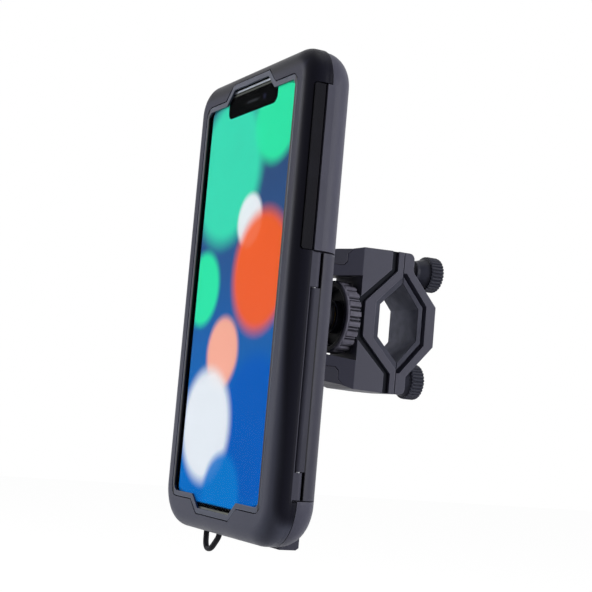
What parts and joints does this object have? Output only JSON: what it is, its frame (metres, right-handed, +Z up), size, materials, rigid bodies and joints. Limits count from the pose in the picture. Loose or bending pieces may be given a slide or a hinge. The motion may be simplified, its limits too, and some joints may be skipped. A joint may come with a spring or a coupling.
{
  "type": "phone handlebar mount",
  "caption": "Hinged splash-proof phone case with a clear window, on a ball joint with a knurled lock wheel and a two-jaw bar clamp tightened by thumb screws.",
  "frame": {"origin": "on the handlebar's axis, in the middle of the bar clamp", "axes": "+X along the handlebar, +Y from the case's window towards the bar clamp's thumb screws, +Z up the phone, parallel to the case's side"},
  "size_m": [0.0866, 0.0782, 0.1609],
  "materials": {
    "case_plastic": "fine satin moulded, dark slate grey",
    "rim_plastic": "satin moulded, dark slate grey",
    "clamp_plastic": "satin moulded glass-filled plastic, dark grey",
    "joint_plastic": "satin moulded, near black",
    "groove_plastic": "matt, near black",
    "wheel_plastic": "satin moulded, lugs rubbed lighter",
    "knob_plastic": "satin moulded, near black",
    "pad_rubber": "matt rubber",
    "button_rubber": "soft matt rubber",
    "seal_rubber": "soft matt rubber",
    "door_rubber": "soft matt rubber",
    "foam": "open foam",
    "loop_elastic": "moulded elastic cord",
    "collet_plastic": "low-friction plastic",
    "ball_plastic": "polished moulded",
    "screw_steel": "zinc-plated",
    "washer_steel": "turned",
    "bush_brass": "turned",
    "cup_aluminium": "turned",
    "clear_lens": "clear touch film",
    "camera_lens": "clear plastic",
    "printed_card": "gloss print"
  },
  "bodies": {
    "clamp_base": {"clamp_yoke": "clamp_plastic", "socket_housing": "joint_plastic", "housing_screws": "screw_steel", "jaw_block": "clamp_plastic", "jaw_block_pad": "pad_rubber", "jaw_block_screws": "screw_steel", "side_inlay": "groove_plastic", "captive_nuts": "screw_steel", "thrust_washer": "washer_steel"},
    "wheel": {"lock_wheel": "wheel_plastic", "wheel_bush": "bush_brass"},
    "cup": {"pressure_cup": "cup_aluminium"},
    "moving_jaw": {"outer_jaw": "clamp_plastic", "outer_jaw_liner": "pad_rubber"},
    "upper_screw": {"upper_screw_knob": "knob_plastic", "upper_screw_shank": "screw_steel"},
    "lower_screw": {"lower_screw_knob": "knob_plastic", "lower_screw_shank": "screw_steel"},
    "collet": {"ball_collet": "collet_plastic"},
    "stud": {"ball_stud": "ball_plastic"},
    "case": {"rear_shell": "case_plastic", "foam_pad": "foam", "camera_window": "camera_lens", "adaptor_plate": "joint_plastic", "adaptor_screws": "screw_steel", "hinge_pin": "screw_steel", "lanyard_loop": "loop_elastic"},
    "cover": {"front_cover": "case_plastic", "window_rim": "rim_plastic", "window_lens": "clear_lens", "display_card": "printed_card", "seal_ring": "seal_rubber", "latch_pin": "screw_steel"},
    "case_latch": {"latch": "case_plastic"},
    "power_button": {"power_pad": "button_rubber"},
    "volume_button": {"volume_pad": "button_rubber"},
    "port_flap": {"port_door": "door_rubber"}
  },
  "joints": [
    {"name": "wheel_turn", "type": "hinge", "parent": "clamp_base", "child": "wheel", "pos_m": [0, -0.019, 0], "axis": [0, -1, 0], "range_deg": [0, 253]},
    {"name": "cup_press", "type": "slide", "parent": "clamp_base", "child": "cup", "axis": [0, 1, 0], "range_m": [0, 0.0007]},
    {"name": "jaw_slide", "type": "slide", "parent": "clamp_base", "child": "moving_jaw", "axis": [0, 1, 0], "range_m": [0, 0.01]},
    {"name": "upper_screw_turn", "type": "hinge", "parent": "moving_jaw", "child": "upper_screw", "pos_m": [0, 0.005, 0.0191], "axis": [0, 1, 0], "range_deg": [0, 4502]},
    {"name": "lower_screw_turn", "type": "hinge", "parent": "moving_jaw", "child": "lower_screw", "pos_m": [0, 0.005, -0.0191], "axis": [0, 1, 0], "range_deg": [0, 4502]},
    {"name": "ball_pan", "type": "hinge", "parent": "clamp_base", "child": "collet", "pos_m": [0, -0.0305, 0], "axis": [0, 0, 1], "range_deg": [-15, 15]},
    {"name": "ball_tilt", "type": "hinge", "parent": "collet", "child": "stud", "pos_m": [0, -0.0305, 0], "axis": [1, 0, 0], "range_deg": [-15, 15]},
    {"name": "case_spin", "type": "hinge", "parent": "stud", "child": "case", "pos_m": [0, -0.0305, 0], "axis": [0, 1, 0], "continuous": true},
    {"name": "cover_hinge", "type": "hinge", "parent": "case", "child": "cover", "pos_m": [-0.042, -0.051, 0], "axis": [0, 0, -1], "range_deg": [0, 110]},
    {"name": "latch_hinge", "type": "hinge", "parent": "cover", "child": "case_latch", "pos_m": [0.0405, -0.0508, 0], "axis": [0, 0, -1], "range_deg": [0, 90]},
    {"name": "power_press", "type": "slide", "parent": "cover", "child": "power_button", "axis": [-1, 0, 0], "range_m": [0, 0.0006], "stiffness_N_per_m": 500},
    {"name": "volume_press", "type": "slide", "parent": "cover", "child": "volume_button", "axis": [1, 0, 0], "range_m": [0, 0.0006], "stiffness_N_per_m": 500},
    {"name": "port_pull", "type": "slide", "parent": "case", "child": "port_flap", "axis": [0, 0, -1], "range_m": [0, 0.006]}
  ],
  "couplings": [
    {"joint": "wheel_turn", "follows": "cup_press", "rad_per_m": 6283.2},
    {"joint": "upper_screw_turn", "follows": "jaw_slide", "rad_per_m": 7854},
    {"joint": "lower_screw_turn", "follows": "jaw_slide", "rad_per_m": 7854}
  ]
}
